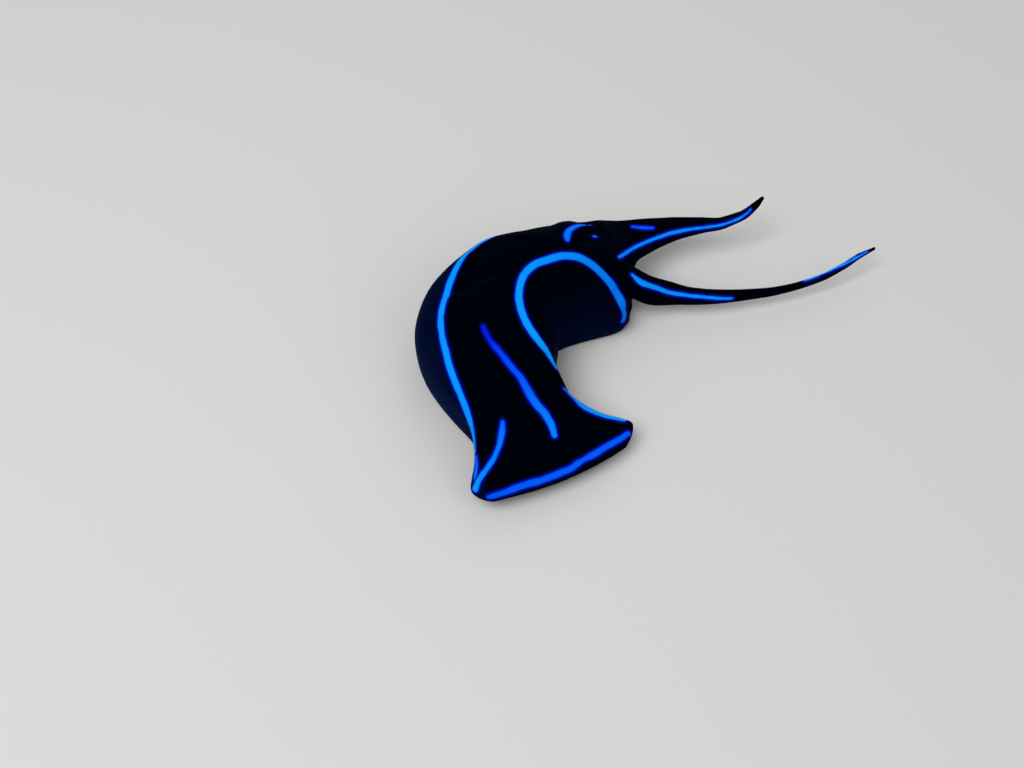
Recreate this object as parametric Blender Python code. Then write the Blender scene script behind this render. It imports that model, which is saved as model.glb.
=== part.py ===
"""A blue velvet headshield slug, life-size, crawling with its body bent to its left.

The animal is laid out along a curved midline on the ground. A place on the body is given as
s, the distance back along the midline from the head, v, the distance to the animal's left,
and z, the height. Sizes are in millimetres and become metres when a mesh is finished.
"""

import math

import bmesh
import bpy
import numpy as np

METRES = 0.001
GAP = 0.3
RIGHT, LEFT = -1, 1


class Profile:
    """A smooth curve through (place, size) points that never overshoots them."""

    def __init__(self, *points):
        self.x, self.y = np.array(points, float).T
        step = np.diff(self.x)
        slope = np.diff(self.y) / step
        self.tangent = np.zeros(len(self.x))
        for i in range(1, len(self.x) - 1):
            if slope[i - 1] * slope[i] > 0:
                a = 2 * step[i] + step[i - 1]
                b = step[i] + 2 * step[i - 1]
                self.tangent[i] = (a + b) / (a / slope[i - 1] + b / slope[i])
        self.tangent[0], self.tangent[-1] = slope[0], slope[-1]

    def __call__(self, at):
        at = np.clip(at, self.x[0], self.x[-1])
        i = np.clip(np.searchsorted(self.x, at) - 1, 0, len(self.x) - 2)
        step = self.x[i + 1] - self.x[i]
        u = (at - self.x[i]) / step
        return (
            self.y[i] * (1 + 2 * u) * (1 - u) ** 2
            + self.tangent[i] * step * u * (1 - u) ** 2
            + self.y[i + 1] * u * u * (3 - 2 * u)
            - self.tangent[i + 1] * step * u * u * (1 - u)
        )


# The midline: where the head's middle is on the ground, and how the body turns behind it
HEAD_PLACE = (-10.2, -14.2)
HEAD_HEADING = 119.0
BODY_TURN = -101.0
TURN_START = 7.5
TURN_END = 28.5
RUMP_TURN = 4.0
RUMP_START = 30.0
RUMP_LENGTH = 6.0
BODY_LENGTH = 34.4

# Heights of the back
HEADSHIELD_HEIGHT = Profile((-1.2, 2.3), (0, 3.0), (2, 4.1), (5, 5.4), (9, 7.0), (13, 8.2), (17, 8.9),
                            (20, 9.1))
POSTERIOR_HEIGHT = Profile((16, 7.2), (19, 7.8), (23, 8.0), (26, 7.9), (29, 7.3), (32, 6.3),
                           (BODY_LENGTH, 5.2))

# Half-widths of the flanks at their fullest, and how high up that is
WIDTH = {
    RIGHT: Profile((1.2, 7.0), (2.2, 7.75), (3.1, 7.2), (4, 6.45), (5, 5.85), (7, 5.15), (10, 5.75),
                   (12, 6.45), (14, 7.3), (16, 7.8), (18, 7.75), (20, 7.25), (22, 6.65), (24, 6.2),
                   (27, 5.95), (29, 5.7), (31.5, 5.45), (32.5, 5.3), (33.2, 4.9)),
    LEFT: Profile((1.2, 6.4), (2.2, 6.8), (3.2, 6.1), (4.3, 5.4), (5.5, 5.0), (8, 4.95), (11, 6.0),
                  (14, 6.55), (17, 6.45), (20, 6.3), (26, 6.5), (30, 6.55), (31.3, 6.35), (32.2, 5.6),
                  (33, 4.9)),
}
FULLEST_HEIGHT = Profile((1, 0.9), (5, 1.8), (12, 2.7), (20, 3.0), (28, 2.8), (33, 1.8))
FOOT_INSET = 0.7
FOOT_THICKNESS = 1.0
FOOT_START = 1.0
FOOT_END = 33.6

# The free margins of the parapodia
MARGIN = {
    RIGHT: Profile((1.2, 6.4), (2.3, 7.0), (3.2, 6.5), (4.2, 5.95), (5.3, 5.4), (7, 4.85), (9, 4.6),
                   (11, 4.45), (13, 4.35), (15.5, 4.6), (18.3, 4.8), (20, 5.3), (22, 5.5), (24, 4.1),
                   (25.7, 2.1), (27.2, 0.7), (28.2, 1.6), (29.6, 2.6), (31, 3.2), (31.7, 3.6),
                   (32.4, 4.1), (32.9, 4.4), (33.2, 4.5)),
    LEFT: Profile((1.2, 6.0), (3, 5.6), (4.4, 4.9), (8.5, 4.3), (11, 3.75), (14.5, 2.8), (18, 1.85),
                  (21, 1.1), (24, 0.9), (26.5, 1.1), (28.4, 1.65), (29.8, 2.55), (30.9, 3.7),
                  (31.6, 4.55), (32.25, 5.2)),
}
MARGIN_HEIGHT = {
    RIGHT: Profile((1.2, 1.9), (2.3, 2.4), (3.2, 2.8), (5.5, 4.1), (9.4, 6.1), (13, 7.1), (17, 7.3),
                   (20, 6.9), (22, 6.8), (24, 7.3), (25.7, 7.9), (27.2, 8.3), (28.6, 8.0), (30.2, 7.2),
                   (31, 6.55), (31.7, 5.8), (32.4, 4.7), (32.9, 3.7), (33.2, 2.4)),
    LEFT: Profile((1.2, 1.9), (3, 2.6), (5.5, 4.0), (8.5, 5.7), (12, 7.3), (16, 8.6), (21, 9.4),
                  (25, 9.4), (27.5, 8.9), (29.3, 7.75), (30.5, 6.3), (31.2, 5.1), (31.8, 3.6),
                  (32.25, 1.8)),
}
MARGIN_LEAN = {
    RIGHT: Profile((1, 20), (5, 35), (9, 60), (14, 80), (18, 75), (21, 60), (24, 65), (28, 80),
                   (30.5, 50), (32, 25), (33.5, 10)),
    LEFT: Profile((1, 20), (5, 35), (9, 60), (14, 85), (20, 90), (28, 80), (30.5, 50), (32, 25),
                  (33.5, 10)),
}
PARAPODIUM_START = 1.2
PARAPODIUM_END = {RIGHT: 33.2, LEFT: 32.25}
PARAPODIUM_BASE = 1.25
PARAPODIUM_THICKNESS = 1.35
MARGIN_THICKNESS = 0.85

# The headshield, with its half-widths as shares of its length from the front
HEADSHIELD_FRONT = -1.35
HEADSHIELD_SWEEP = 1.0
SWEEP_MIDDLE = 2.3
SWEEP_REACH = 8.3
HEADSHIELD_END = 19.6
HEADSHIELD_WIDTH = {
    RIGHT: Profile((0, 6.7), (0.035, 7.75), (0.07, 8.15), (0.12, 7.4), (0.17, 6.3), (0.24, 5.2),
                   (0.33, 4.45), (0.42, 4.15), (0.55, 4.3), (0.7, 4.5), (0.82, 4.2), (0.92, 3.1),
                   (0.975, 1.8), (1, 0.5)),
    LEFT: Profile((0, 7.4), (0.035, 8.6), (0.07, 9.1), (0.12, 8.2), (0.17, 6.9), (0.24, 5.6),
                  (0.33, 4.6), (0.42, 4.2), (0.55, 4.3), (0.7, 4.5), (0.82, 4.2), (0.92, 3.1),
                  (0.975, 1.8), (1, 0.5)),
}
HEADSHIELD_DROOP = Profile((-1.7, 0.1), (1, 0.8), (3, 0.7), (6, 0.6), (10, 1.0), (15, 1.7), (20, 1.2))
HEADSHIELD_THICKNESS = 1.3
HEADSHIELD_EDGE = 1.0
HEADSHIELD_SHARES = (0, 0.005, 0.013, 0.025, 0.04, 0.065, 0.1, 0.135, 0.17, 0.21, 0.26, 0.32, 0.39, 0.46,
                     0.54, 0.62, 0.7, 0.77, 0.83, 0.88, 0.92, 0.95, 0.975, 0.987, 0.995, 1)

# The snout under the headshield: two lip pads either side of an upright mouth
LIP_PLACE = (0.75, 1.3, 1.15)
LIP_SIZE = (1.35, 1.45, 0.95)

# The posterior shield
POSTERIOR_START = 16.8
POSTERIOR_END = 33.3
POSTERIOR_FALL = 31.8
POSTERIOR_WIDTH = {
    RIGHT: Profile((16.8, 1.8), (17.6, 3.9), (19, 5.3), (23, 5.3), (27, 4.9), (30, 4.9), (31.5, 4.7),
                   (32.6, 3.8), (33.3, 2.2)),
    LEFT: Profile((16.8, 1.6), (17.6, 3.3), (19, 4.2), (23, 4.4), (27, 4.6), (29, 4.3), (30.3, 3.8),
                  (31.5, 3.6), (32.6, 3.1), (33.3, 2.0)),
}
POSTERIOR_DROOP = Profile((16.8, 0.9), (22, 1.4), (28, 1.4), (33.3, 0.6))
POSTERIOR_THICKNESS = Profile((16.8, 1.3), (28, 1.6), (31, 2.0), (33.3, 1.6))
POSTERIOR_EDGE = 1.1

END_ROUNDING = 3.5
TRUNK_BASE = 1.0
TRUNK_START = 0.9
TRUNK_END = 33.5
TRUNK_WALL = 1.1
TRUNK_END_WALL = 0.5

# The tails, with everything as a size at a distance behind the fork
TAILS = {
    RIGHT: {
        "ends": (-3.4, 16.2),
        "aside": Profile((-3.4, -1.4), (-2, -1.45), (-0.65, -1.55), (0.4, -2.03), (1.2, -2.2),
                         (2.3, -2.27), (5.3, -1.92), (8.5, -1.08), (10.8, -0.43), (12.8, -0.4),
                         (14.8, -0.95), (16.2, -1.6)),
        "height": Profile((-3.4, 5.4), (-2, 5.0), (-0.65, 4.4), (0.8, 3.9), (2.3, 3.7), (5.3, 3.8),
                          (8.5, 4.0), (10.8, 4.1), (12.8, 4.3), (14.8, 4.6), (16.2, 4.9)),
        "width": Profile((-3.4, 3.3), (-0.65, 3.4), (0.4, 2.88), (1.2, 2.6), (2.3, 2.28),
                         (4.75, 1.62), (7.95, 1.02), (10.4, 0.7), (12.8, 0.55), (14.9, 0.38),
                         (16.2, 0.14)),
        "depth": Profile((-3.4, 1.0), (-1.5, 1.15), (-0.3, 0.95), (1.5, 0.8), (4.75, 0.7), (7.95, 0.55),
                         (10.4, 0.46), (12.8, 0.4), (14.9, 0.3), (16.2, 0.14)),
        "twist": Profile((-3.4, 0), (0, 0), (5, 8), (10, 15), (16.2, 15)),
    },
    LEFT: {
        "ends": (-3.4, 24.9),
        "aside": Profile((-3.4, 2.2), (-2.2, 2.6), (-0.7, 3.55), (-0.1, 3.9), (0.9, 4.36), (2.3, 4.9),
                         (4.1, 5.9), (6.9, 6.95), (10, 7.68), (13, 8.2), (15.2, 8.42), (17.7, 8.48),
                         (20.8, 8.15), (23, 7.72), (24.9, 7.65)),
        "height": Profile((-3.4, 5.1), (-2.2, 4.6), (-0.7, 3.7), (0.9, 2.9), (2.3, 2.55), (4.1, 2.35),
                          (6.9, 2.15), (10, 1.9), (13, 1.7), (15.2, 1.7), (17.7, 1.8), (20.8, 2.1),
                          (23, 2.4), (24.9, 2.8)),
        "width": Profile((-3.4, 1.9), (-2.2, 2.1), (-0.7, 2.0), (-0.1, 1.87), (0.9, 1.58), (2.3, 1.32),
                         (4.1, 0.95), (6.9, 0.74), (10.6, 0.56), (14.8, 0.45), (19, 0.4), (22.6, 0.33),
                         (24.3, 0.2), (24.9, 0.14)),
        "depth": Profile((-3.4, 1.2), (-0.7, 1.1), (0.9, 0.9), (2.35, 0.75), (4.6, 0.6), (7.8, 0.46),
                         (10.6, 0.38), (14.8, 0.34), (19, 0.32), (22.6, 0.28), (24.3, 0.18), (24.9, 0.14)),
        "twist": Profile((-3.4, 10), (-0.7, 32), (2, 38), (7, 42), (15.5, 75), (24.9, 75)),
    },
}

# Where the nodes meet along the body
TRUNK_JOINTS = (6.0, 14.5, 23.5)
PARAPODIUM_JOINTS = (9.5, 21.0)
FOOT_JOINTS = (11.0, 22.0)
TAIL_JOINT = 34.0

# The blocks that cut the posterior shield and the tails apart: far enough back, across and up
BLOCK_END = 61.0
BLOCK_HALF = 12.0
BLOCK_TOP = 9.0

# The upright mouth between the lip pads
MOUTH_PLACE = (0.1, 0.0, 1.2)
MOUTH_SIZE = (0.9, 0.25, 0.75)


def ease(x):
    x = np.clip(x, 0.0, 1.0)
    return x * x * (3 - 2 * x)


def heading(s):
    """The direction from head to tail at s, as an angle on the ground."""
    turn = BODY_TURN * ease((s - TURN_START) / (TURN_END - TURN_START))
    return np.radians(HEAD_HEADING + turn + RUMP_TURN * ease((s - RUMP_START) / RUMP_LENGTH))


def midline(first=-3.0, last=62.0, step=0.05):
    """Points of the midline, from the heading added up along it."""
    s = np.arange(first, last, step)
    angle = heading(s + step / 2)
    xy = np.cumsum(np.stack([np.cos(angle), np.sin(angle)], 1) * step, axis=0)
    xy = np.vstack([[0, 0], xy[:-1]])
    start = np.array([np.interp(0, s, xy[:, k]) for k in (0, 1)])
    return s, xy - start + np.array(HEAD_PLACE)


MIDLINE_S, MIDLINE_XY = midline()


def place(s, v, z):
    """The points in space of places on the body."""
    s, v, z = np.broadcast_arrays(np.asarray(s, float), v, z)
    x, y = (np.interp(s, MIDLINE_S, MIDLINE_XY[:, k]) for k in (0, 1))
    angle = heading(s)
    return np.stack([x + v * np.sin(angle), y - v * np.cos(angle), z], -1)


def bezier(points, u):
    a, b, c, d = (np.array(p, float) for p in points)
    u = u[:, None]
    return a * (1 - u) ** 3 + 3 * b * u * (1 - u) ** 2 + 3 * c * u * u * (1 - u) + d * u**3


def even(line, count):
    """The line again, with its points evenly spaced."""
    far = np.concatenate([[0], np.cumsum(np.linalg.norm(np.diff(line, axis=0), axis=1))])
    at = np.linspace(0, far[-1], count)
    return np.stack([np.interp(at, far, line[:, k]) for k in range(line.shape[1])], -1)


def spread(stations, grow):
    """The stations moved apart, so that a cutter's two ends grow too."""
    stations = np.array(stations, float)
    first, last = stations[0], stations[-1]
    return stations + grow * (2 * (stations - first) / (last - first) - 1)


def towards(first, last, ends, step):
    """Even stations from first up to the last few, which lie at the given distances before the end."""
    stop = last - ends[0]
    count = max(3, int(round((stop - first) / step)) + 1)
    return np.concatenate([np.linspace(first, stop, count), [last - x for x in ends[1:]]])


def rounded(depth, radius):
    """A rim's share of its full thickness at a depth in from its edge."""
    return np.sqrt(1 - (1 - np.clip(depth / radius, 0, 1)) ** 2)


def blunt_end(s, end):
    """A body's share of its full width at s, where it rounds off to an end."""
    share = max(s - end + END_ROUNDING, 0) / END_ROUNDING
    return max(0.0, 1 - share**4) ** 0.25


def flank(s, side):
    """One flank's outline at s, as (distance from the midline, height), from the ground to the margin."""
    width, margin, top = WIDTH[side](s), MARGIN[side](s), MARGIN_HEIGHT[side](s)
    lean = math.radians(MARGIN_LEAN[side](s))
    fullest = min(FULLEST_HEIGHT(s), 0.6 * top)
    rise = 0.55 * (top - fullest)
    reach = 0.44 * math.hypot(width - margin, top - fullest)
    belly = (width, fullest)
    lower = ((width - FOOT_INSET, 0), (width - 0.2, 0.1 * fullest), (width, 0.5 * fullest), belly)
    under_margin = (margin + reach * math.sin(lean), top - reach * math.cos(lean))
    upper = (belly, (width, fullest + rise), under_margin, (margin, top))
    u = np.linspace(0, 1, 60)
    return np.vstack([bezier(lower, u)[:-1], bezier(upper, u)])


def parapodium_ring(s, side, grow, steps=12):
    """A closed ring round one parapodium at s: up its outside, round its margin and down its inside."""
    outline = even(flank(s, side), 200)
    outline = even(outline[outline[:, 1] >= PARAPODIUM_BASE - grow], steps)
    along = np.gradient(outline, axis=0)
    along /= np.linalg.norm(along, axis=1)[:, None]
    out = np.stack([along[:, 1], -along[:, 0]], -1)
    share = np.linspace(0, 1, steps)
    low = min(1.0, 0.5 + 0.3 * (outline[-1, 1] - PARAPODIUM_BASE))
    thick = (PARAPODIUM_THICKNESS - share * (PARAPODIUM_THICKNESS - MARGIN_THICKNESS)) * low
    outer = outline + out * grow
    inner = outline - out * (thick + grow)[:, None]
    middle, across = (outer[-1] + inner[-1]) / 2, (outer[-1] - inner[-1]) / 2
    angle = np.radians([45, 90, 135])[:, None]
    tip = middle + across * np.cos(angle) + along[-1] * np.linalg.norm(across) * np.sin(angle)
    ring = np.vstack([outer, tip, inner[::-1]])
    return place(s, side * ring[:, 0], ring[:, 1])


def parapodium_rings(side, first, last, grow=0.0):
    ends = (2.6, 2.0, 1.45, 1.0, 0.6, 0.3, 0.08) if last >= PARAPODIUM_END[side] else (1.1, 0)
    return [parapodium_ring(s, side, grow) for s in spread(towards(first, last, ends, 1.1), grow)]


def plate_ring(s_of, halves, crown_of, thickness, edge, grow, steps=16):
    """A closed ring round a plate: over its top from right to left, and back underneath."""
    w = np.sin(np.pi / 2 * np.linspace(-1, 1, steps + 1))
    half = np.where(w > 0, halves[LEFT], halves[RIGHT])
    v = w * half
    s = s_of(v)
    full = edge + (thickness - edge) * (1 - w * w)
    depth = full * rounded((1 - abs(w)) * half, edge / 2)
    crown = crown_of(s, w) - (full - depth) / 2
    return np.vstack([place(s, v, crown + grow), place(s, v, crown - depth - grow)[-2:0:-1]])


def headshield_rings(grow=0.0):
    """Rings from the headshield's front edge to its rounded end, each following the front edge's sweep."""
    length = HEADSHIELD_END - HEADSHIELD_FRONT
    rings = []
    for share in HEADSHIELD_SHARES:
        halves = {side: HEADSHIELD_WIDTH[side](share) + grow for side in (RIGHT, LEFT)}
        blunt = 0.1 + 0.9 * float(rounded(min(share, 1 - share) * length, HEADSHIELD_EDGE / 2))
        start = HEADSHIELD_FRONT + share * length + grow * (2 * share - 1)

        def s_of(v):
            return start + HEADSHIELD_SWEEP * ((v - SWEEP_MIDDLE) / SWEEP_REACH) ** 2 * (1 - share) ** 3

        def crown_of(s, w):
            return HEADSHIELD_HEIGHT(s) - (1 - blunt) * HEADSHIELD_EDGE / 2 - HEADSHIELD_DROOP(s) * w * w

        thickness, edge = HEADSHIELD_THICKNESS * blunt, HEADSHIELD_EDGE * blunt
        rings.append(plate_ring(s_of, halves, crown_of, thickness, edge, grow))
    return rings


def posterior_rings(grow=0.0):
    rings = []
    for s in spread(np.linspace(POSTERIOR_START, POSTERIOR_END, 20), grow):
        halves = {side: POSTERIOR_WIDTH[side](s) + grow for side in (RIGHT, LEFT)}
        blunt = 0.4 + 0.6 * ease((s - POSTERIOR_START) / 1.5)
        low = (1 - blunt) * 0.4 + 0.9 * ease((s - POSTERIOR_FALL) / (POSTERIOR_END - POSTERIOR_FALL)) ** 2

        def s_of(v):
            return np.full(len(v), s)

        def crown_of(at, w):
            return POSTERIOR_HEIGHT(at) - low - POSTERIOR_DROOP(at) * w * w

        thickness, edge = POSTERIOR_THICKNESS(s) * blunt, POSTERIOR_EDGE * blunt
        rings.append(plate_ring(s_of, halves, crown_of, thickness, edge, grow))
    return rings


def trunk_top(s):
    """Height of the trunk's back: inside the shield that covers it there."""
    head = HEADSHIELD_HEIGHT(s) - 0.6 * HEADSHIELD_THICKNESS
    rear = POSTERIOR_HEIGHT(s) - 0.6 * POSTERIOR_THICKNESS(s)
    return head + (rear - head) * ease((s - 16.5) / 2.0)


def trunk_ring(s, steps=28):
    """A closed ring round the trunk at s, inside the parapodia and up to the shields."""
    end = blunt_end(s, TRUNK_END) * (0.55 + 0.45 * float(rounded(s - TRUNK_START, 1.8)))
    wall = TRUNK_WALL + (TRUNK_END_WALL - TRUNK_WALL) * ease((s - 29) / 3)
    right, left = ((WIDTH[side](s) - wall) * (0.5 + 0.5 * end) for side in (RIGHT, LEFT))
    low = TRUNK_BASE
    top = low + (trunk_top(s) - low) * (0.8 + 0.2 * end)
    a = np.linspace(0, 2 * np.pi, steps, endpoint=False)
    c, d = np.cos(a), np.sin(a)
    v = np.where(c > 0, left, right) * np.sign(c) * abs(c) ** 0.75
    z = (low + top) / 2 + (top - low) / 2 * np.sign(d) * abs(d) ** 0.8
    return place(s, v, z)


def trunk_rings(first, last):
    ends = (3.0, 2.2, 1.5, 0.9, 0.4, 0.1, 0) if last >= TRUNK_END else (1.2, 0)
    stations = towards(first, last, ends, 1.3)
    if first <= TRUNK_START:
        stations = np.concatenate([[first, first + 0.2, first + 0.6], stations[stations > first + 1.0]])
    return [trunk_ring(s) for s in stations]


def foot_rings(first, last, grow=0.0):
    """Rings of the flat foot, with its rounded front corners and end."""
    ends = (3.0, 2.2, 1.5, 0.9, 0.4, 0.1, 0) if last >= FOOT_END else (1.6, 0)
    stations = towards(first, last, ends, 1.6)
    if first <= FOOT_START:
        closer = [first, first + 0.15, first + 0.5, first + 1.1]
        stations = np.concatenate([closer, stations[stations > first + 1.6]])
    rings = []
    for s, along in zip(stations, spread(stations, grow)):
        front = float(rounded(s - FOOT_START, 1.8))
        rear = blunt_end(s, FOOT_END)
        thick = FOOT_THICKNESS * (0.5 + 0.5 * front)
        right, left = (
            (WIDTH[side](s) - FOOT_INSET) * (0.8 + 0.2 * front) * max(rear, 0.12) + grow
            for side in (RIGHT, LEFT)
        )
        profile = [(-right, 0), (-right - 0.35, 0.35 * thick), (-right - 0.45, 0.75 * thick)]
        profile += [(-right - 0.2, thick), (-right * 0.5, thick), (0, thick), (left * 0.5, thick)]
        profile += [(left + 0.2, thick), (left + 0.45, 0.75 * thick), (left + 0.35, 0.35 * thick), (left, 0)]
        profile += [(left * 0.5, 0), (0, 0), (-right * 0.5, 0)]
        v, z = np.array(profile, float).T
        rings.append(place(along, v, np.where(z > 0.5 * thick, z + grow, z - grow)))
    return rings


def pad_rings(centre, size, steps=12):
    """Rings of an egg-shaped pad, as (along the body, across it, upward)."""
    rings = []
    around = np.linspace(0, 2 * np.pi, steps, endpoint=False)
    for a in np.linspace(0.04, 0.96, steps + 1) * np.pi:
        v = centre[1] + size[1] * math.sin(a) * np.cos(around)
        z = centre[2] + size[2] * math.sin(a) * np.sin(around)
        rings.append(place(centre[0] - size[0] * math.cos(a), v, z))
    return rings


def tail_middle(side, x):
    """The point on a tail's middle at a distance behind the fork."""
    return place(BODY_LENGTH + x, TAILS[side]["aside"](x), TAILS[side]["height"](x))


def tail_axes(side, x):
    """The directions across a tail's blade and through it, turned about its length by the twist."""
    forward = tail_middle(side, x + 0.2) - tail_middle(side, x - 0.2)
    forward /= np.linalg.norm(forward)
    back = place(BODY_LENGTH + x + 0.2, 0, 0) - place(BODY_LENGTH + x - 0.2, 0, 0)
    forward += (1 - ease((x - 2) / 5)) * (back / np.linalg.norm(back) - forward)
    forward /= np.linalg.norm(forward)
    sideways = np.cross(forward, (0, 0, 1))
    sideways /= np.linalg.norm(sideways)
    up = np.cross(sideways, forward)
    turned = math.radians(TAILS[side]["twist"](x))
    c, d = math.cos(turned), math.sin(turned)
    return sideways * c - up * d, up * c + sideways * d


def tail_rings(side, grow=0.0, count=30, steps=12):
    """Rings along a tail, a flattened blade, from inside the posterior shield to its tip."""
    around = np.linspace(0, 2 * np.pi, steps, endpoint=False)[:, None]
    first, last = TAILS[side]["ends"]
    rings = []
    for x in np.linspace(first, last - 0.21, count):
        wide, deep = tail_axes(side, x)
        width, depth = (TAILS[side][size](x) + grow for size in ("width", "depth"))
        rings.append(tail_middle(side, x) + wide * width * np.cos(around) + deep * depth * np.sin(around))
    return rings


def block_rings(first, last):
    """Rings of a plain block across the body."""
    v = np.array([-BLOCK_HALF, BLOCK_HALF, BLOCK_HALF, -BLOCK_HALF])
    z = np.array([-1, -1, BLOCK_TOP, BLOCK_TOP])
    return [place(s, v, z) for s in np.linspace(first, last, 4)]


def loft(name, rings):
    """A closed mesh object through the rings, with a flat face on each end."""
    mesh = bpy.data.meshes.new(name)
    count = len(rings[0])
    faces = [tuple(reversed(range(count))), tuple(range((len(rings) - 1) * count, len(rings) * count))]
    for i in range(len(rings) - 1):
        for j in range(count):
            a, b = i * count + j, i * count + (j + 1) % count
            faces.append((a, b, b + count, a + count))
    mesh.from_pydata(np.vstack(rings).tolist(), [], faces)
    shape = bmesh.new()
    shape.from_mesh(mesh)
    bmesh.ops.remove_doubles(shape, verts=shape.verts, dist=1e-4)
    bmesh.ops.recalc_face_normals(shape, faces=shape.faces)
    if shape.calc_volume(signed=True) < 0:
        bmesh.ops.reverse_faces(shape, faces=shape.faces)
    bmesh.ops.triangulate(shape, faces=shape.faces)
    shape.to_mesh(mesh)
    shape.free()
    obj = bpy.data.objects.new(name, mesh)
    bpy.context.scene.collection.objects.link(obj)
    return obj


def keep_largest(mesh):
    """Leaves only the mesh's largest closed surface."""
    shape = bmesh.new()
    shape.from_mesh(mesh)
    shape.faces.ensure_lookup_table()
    seen, islands = set(), []
    for face in shape.faces:
        if face.index in seen:
            continue
        todo, island = [face], []
        seen.add(face.index)
        while todo:
            here = todo.pop()
            island.append(here)
            for edge in here.edges:
                for other in edge.link_faces:
                    if other.index not in seen:
                        seen.add(other.index)
                        todo.append(other)
        islands.append(island)
    islands.sort(key=lambda island: -sum(f.calc_area() for f in island))
    for island in islands[1:]:
        bmesh.ops.delete(shape, geom=island, context="FACES")
    loose = [v for v in shape.verts if not v.link_faces]
    bmesh.ops.delete(shape, geom=loose, context="VERTS")
    bmesh.ops.triangulate(shape, faces=shape.faces)
    shape.to_mesh(mesh)
    shape.free()


def carve(obj, cutters, operation="DIFFERENCE"):
    """Cuts the cutters out of obj, or joins them to it, and keeps its largest closed surface."""
    for cutter in cutters:
        cut = obj.modifiers.new("cut_" + cutter.name, "BOOLEAN")
        cut.operation = operation
        cut.solver = "EXACT"
        cut.object = cutter
    bpy.context.view_layer.update()
    graph = bpy.context.evaluated_depsgraph_get()
    carved = bpy.data.meshes.new_from_object(obj.evaluated_get(graph))
    obj.modifiers.clear()
    obj.data = carved
    keep_largest(carved)


def cutter(name, rings):
    obj = loft(name, rings)
    obj.hide_render = True
    obj.display_type = "WIRE"
    return obj


def velvet(name, colour, roughness):
    """A material for skin: nearly black, with no metal in it."""
    material = bpy.data.materials.new(name)
    material.use_nodes = True
    shader = material.node_tree.nodes["Principled BSDF"]
    shader.inputs["Base Color"].default_value = (*colour, 1)
    shader.inputs["Roughness"].default_value = roughness
    shader.inputs["Metallic"].default_value = 0
    material.diffuse_color = (*colour, 1)
    return material


def lengths(first, last, joints):
    """The stretches between the joints, with half the gap left at each."""
    cuts = [first, *joints, last]
    found = []
    for i in range(len(cuts) - 1):
        low = cuts[i] + (GAP / 2 if i else 0)
        high = cuts[i + 1] - (GAP / 2 if i < len(cuts) - 2 else 0)
        found.append((low, high))
    return found


def make_flaps(nodes, shield_cut, foot_cut):
    """The parapodia in their lengths, and cutters that leave the gap round each."""
    cutters = {"front": [], "behind": []}
    for name, side in (("right", RIGHT), ("left", LEFT)):
        end = PARAPODIUM_END[side]
        parts = lengths(PARAPODIUM_START, end, PARAPODIUM_JOINTS)
        for label, (first, last) in zip(("front", "middle", "rear"), parts):
            node = f"parapodium_{name}_{label}"
            nodes[node] = loft(node, parapodium_rings(side, first, last))
            carve(nodes[node], [foot_cut, shield_cut] if label == "front" else [foot_cut])
        joint = PARAPODIUM_JOINTS[0]
        front = parapodium_rings(side, PARAPODIUM_START, joint + 1, GAP)
        behind = parapodium_rings(side, joint + GAP / 2, end, GAP)
        cutters["front"].append(cutter(f"parapodium_{name}_front_cut", front))
        cutters["behind"].append(cutter(f"parapodium_{name}_behind_cut", behind))
    return cutters


def make_foot(nodes):
    for label, (first, last) in zip(("front", "middle", "rear"), lengths(FOOT_START, FOOT_END, FOOT_JOINTS)):
        node = f"foot_{label}"
        nodes[node] = loft(node, foot_rings(first, last))


def make_posterior(nodes, others):
    """The posterior shield, into which the two tails' roots are joined."""
    shield = loft("posterior_shield", posterior_rings())
    carve(shield, [cutter(f"tail_root_{side}", tail_rings(side)) for side in (RIGHT, LEFT)], "UNION")
    behind = cutter("behind_the_shield", block_rings(TAIL_JOINT - GAP / 2, BLOCK_END))
    carve(shield, [behind, *others])
    nodes["posterior_shield"] = shield


def make_tails(nodes):
    """The two tails, each cut off square where it leaves the posterior shield."""
    root = cutter("before_the_tails", block_rings(TAIL_JOINT - 4, TAIL_JOINT + GAP / 2))
    for node, side in (("tail_right", RIGHT), ("tail_left", LEFT)):
        nodes[node] = loft(node, tail_rings(side))
        carve(nodes[node], [root])


def make_head(nodes, rings):
    """The snout: the front of the trunk with its two lip pads, and the mouth between them."""
    head = loft("head", rings)
    s, v, z = LIP_PLACE
    lips = [cutter(f"lip_{side}", pad_rings((s, side * v, z), LIP_SIZE)) for side in (RIGHT, LEFT)]
    carve(head, lips, "UNION")
    carve(head, [cutter("mouth", pad_rings(MOUTH_PLACE, MOUTH_SIZE))])
    nodes["head"] = head


def make_nodes():
    """Every node of the animal, with no overlap between them."""
    nodes = {"headshield": loft("headshield", headshield_rings())}
    shield_cut = cutter("headshield_cut", headshield_rings(GAP))
    foot_cut = cutter("foot_cut", foot_rings(FOOT_START, FOOT_END, GAP))
    flap_cuts = make_flaps(nodes, shield_cut, foot_cut)
    carve(nodes["headshield"], flap_cuts["behind"])
    flap_cuts = flap_cuts["front"] + flap_cuts["behind"]
    make_foot(nodes)
    make_posterior(nodes, [shield_cut, *flap_cuts])
    make_tails(nodes)

    covers = [shield_cut, cutter("posterior_cut", posterior_rings(GAP)), foot_cut, *flap_cuts]
    covers += [cutter(f"tail_cut_{side}", tail_rings(side, GAP)) for side in (RIGHT, LEFT)]
    names = ("head", "trunk_front", "trunk_middle", "trunk_rear")
    for node, (first, last) in zip(names, lengths(TRUNK_START, TRUNK_END, TRUNK_JOINTS)):
        rings = trunk_rings(first, last)
        if node == "head":
            make_head(nodes, rings)
        else:
            nodes[node] = loft(node, rings)
        carve(nodes[node], covers)
    return nodes


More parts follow.
